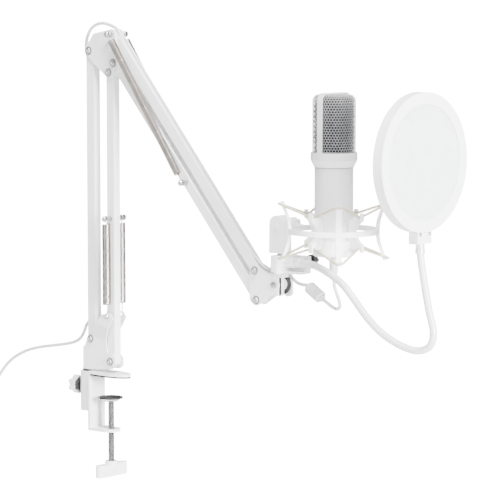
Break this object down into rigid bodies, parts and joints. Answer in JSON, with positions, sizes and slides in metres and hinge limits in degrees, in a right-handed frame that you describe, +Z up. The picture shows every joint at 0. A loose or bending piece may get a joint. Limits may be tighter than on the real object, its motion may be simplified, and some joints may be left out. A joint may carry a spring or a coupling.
{
  "type": "desktop_microphone",
  "caption": "White studio condenser microphone in a spider shock mount on a spring-balanced desk-clamp scissor arm, with a round pop filter on a gooseneck",
  "frame": {"origin": "centre of the clamp's jaw face: the point of the jaw pad on the clamp screw's axis, where the top of the desk is held", "axes": "+X from the clamp towards the microphone in the plane of the arm, +Z up along the clamp screw, +Y to the left of the arm as seen from the clamp"},
  "size_m": [0.7842, 0.153, 0.5828],
  "materials": {
    "white_paint": "smooth white powder coat",
    "white_plastic": "satin moulded",
    "black_rubber": "matte",
    "black_plastic": "matte",
    "steel": "plated",
    "satin_metal": "satin bead-blasted silver white",
    "grille_metal": "woven wire mesh",
    "neck_metal": "white coated flexible tube",
    "gold": "sputtered gold",
    "board": "circuit board",
    "cable_jacket": "soft jacket",
    "elastic": "braided elastic",
    "gauze": "fine translucent mesh"
  },
  "bodies": {
    "clamp": {"clamp_frame": "white_paint", "clamp_jaw_pad": "black_rubber", "lock_nut": "black_plastic"},
    "clamp_screw_body": {"clamp_screw": "steel", "clamp_handle": "white_plastic"},
    "clamp_disc_body": {"clamp_disc": "satin_metal", "clamp_disc_pad": "black_rubber"},
    "lock_knob_body": {"lock_knob": "white_plastic"},
    "base": {"swivel_washer": "black_plastic", "swivel_pin": "steel", "base_bracket": "white_paint", "lower_spring_near": "steel", "lower_spring_far": "steel", "cable_tail": "cable_jacket", "cable_coil": "cable_jacket", "cable_usb_plug": "cable_jacket"},
    "lower_rear": {"lower_rear_bar": "white_paint", "cable_lower_run": "cable_jacket"},
    "lower_front": {"lower_front_bar": "white_paint", "lower_spring_bolt": "steel"},
    "elbow": {"elbow_bracket": "white_paint", "elbow_bolt": "steel", "upper_spring_near": "steel", "upper_spring_far": "steel"},
    "upper_top": {"upper_top_bar": "white_paint", "cable_upper_run": "cable_jacket"},
    "upper_lower": {"upper_lower_bar": "white_paint", "upper_spring_bolt": "steel"},
    "head": {"head_bracket": "white_paint", "head_tilt_bolt": "steel", "head_washer": "black_plastic"},
    "head_wing": {"head_wing_nut": "white_plastic"},
    "knuckle": {"head_knuckle": "white_paint", "head_friction_pad": "black_rubber", "thread_stud": "steel", "mount_base": "white_plastic", "cable_ferrite": "cable_jacket", "cable_lead": "cable_jacket", "cable_loop": "cable_jacket"},
    "mount_knob": {"mount_tilt_knob": "white_plastic"},
    "shock_mount": {"mount_frame": "white_plastic", "mount_cradle": "white_plastic", "mount_elastic_upper": "elastic", "mount_elastic_lower": "elastic", "mic_body": "satin_metal", "mic_grille_frame": "satin_metal", "mic_grille_mesh": "grille_metal", "mic_capsule": "gold", "mic_board": "board", "mic_cable_plug": "cable_jacket"},
    "pop_base": {"pop_clamp": "white_plastic", "gooseneck_lower": "neck_metal"},
    "pop_knob": {"pop_clamp_knob": "black_plastic"},
    "pop_middle": {"gooseneck_middle": "neck_metal"},
    "pop_head": {"gooseneck_upper": "neck_metal", "pop_ring": "white_plastic", "pop_ring_cover": "white_plastic", "pop_screen_front": "gauze", "pop_screen_back": "gauze"}
  },
  "joints": [
    {"name": "clamp_screw_turn", "type": "hinge", "parent": "clamp_disc_body", "child": "clamp_screw_body", "pos_m": [0, 0, -0.06], "axis": [0, 0, 1], "range_deg": [-8641, 6855]},
    {"name": "clamp_screw_travel", "type": "slide", "parent": "clamp", "child": "clamp_disc_body", "axis": [0, 0, 1], "range_m": [-0.03, 0.0238]},
    {"name": "lock_knob_turn", "type": "hinge", "parent": "clamp", "child": "lock_knob_body", "pos_m": [-0.058, 0, -0.0153], "axis": [1, 0, 0], "continuous": true},
    {"name": "base_swivel", "type": "hinge", "parent": "clamp", "child": "base", "pos_m": [-0.037, 0, 0.0057], "axis": [0, 0, 1], "range_deg": [-180, 180]},
    {"name": "lower_arm_tilt", "type": "hinge", "parent": "base", "child": "lower_rear", "pos_m": [-0.027, 0, 0.0445], "axis": [0, 1, 0], "range_deg": [-25, 50], "deforming": ["lower_spring_near", "lower_spring_far", "cable_lower_run"]},
    {"name": "lower_front_link", "type": "hinge", "parent": "base", "child": "lower_front", "pos_m": [0.006, 0, 0.019], "axis": [0, 1, 0], "range_deg": [-25, 50]},
    {"name": "elbow_level", "type": "hinge", "parent": "lower_rear", "child": "elbow", "pos_m": [-0.027, 0, 0.3945], "axis": [0, 1, 0], "range_deg": [-50, 25]},
    {"name": "upper_arm_tilt", "type": "hinge", "parent": "elbow", "child": "upper_top", "pos_m": [0.0112, 0, 0.4145], "axis": [0, 1, 0], "range_deg": [-60, 12], "deforming": ["upper_spring_near", "upper_spring_far", "cable_upper_run"]},
    {"name": "upper_lower_link", "type": "hinge", "parent": "elbow", "child": "upper_lower", "pos_m": [0.0137, 0, 0.3805], "axis": [0, 1, 0], "range_deg": [-60, 12]},
    {"name": "head_level", "type": "hinge", "parent": "upper_top", "child": "head", "pos_m": [0.23758, 0, 0.14757], "axis": [0, 1, 0], "range_deg": [-12, 60]},
    {"name": "head_tilt", "type": "hinge", "parent": "head", "child": "knuckle", "pos_m": [0.26658, 0, 0.13297], "axis": [0, 1, 0], "range_deg": [-10, 30], "deforming": ["cable_lead"]},
    {"name": "head_wing_turn", "type": "hinge", "parent": "head", "child": "head_wing", "pos_m": [0.26658, 0.015, 0.13297], "axis": [0, 1, 0], "continuous": true},
    {"name": "mount_tilt", "type": "hinge", "parent": "knuckle", "child": "shock_mount", "pos_m": [0.2715, 0, 0.1999], "axis": [0, 1, 0], "range_deg": [-40, 8], "deforming": ["cable_loop"]},
    {"name": "mount_knob_turn", "type": "hinge", "parent": "knuckle", "child": "mount_knob", "pos_m": [0.2715, 0.02, 0.1999], "axis": [0, 1, 0], "continuous": true},
    {"name": "pop_swivel", "type": "hinge", "parent": "knuckle", "child": "pop_base", "pos_m": [0.2715, 0, 0.1567], "axis": [0, 0, 1], "range_deg": [-55, 0]},
    {"name": "pop_knob_turn", "type": "hinge", "parent": "pop_base", "child": "pop_knob", "pos_m": [0.3011, 0.019, 0.162], "axis": [0, 1, 0], "continuous": true},
    {"name": "gooseneck_low_bend", "type": "hinge", "parent": "pop_base", "child": "pop_middle", "pos_m": [0.3881, -0.015, 0.1292], "axis": [0, 1, 0], "range_deg": [-12, 25]},
    {"name": "gooseneck_high_bend", "type": "hinge", "parent": "pop_middle", "child": "pop_head", "pos_m": [0.47, -0.003, 0.0763], "axis": [1, 0, 0], "range_deg": [-30, 30]}
  ],
  "couplings": [
    {"joint": "clamp_screw_turn", "follows": "clamp_screw_travel", "rad_per_m": 5026.5},
    {"joint": "lower_front_link", "follows": "lower_arm_tilt", "ratio": 1},
    {"joint": "elbow_level", "follows": "lower_arm_tilt", "ratio": -1},
    {"joint": "upper_lower_link", "follows": "upper_arm_tilt", "ratio": 1},
    {"joint": "head_level", "follows": "upper_arm_tilt", "ratio": -1}
  ]
}
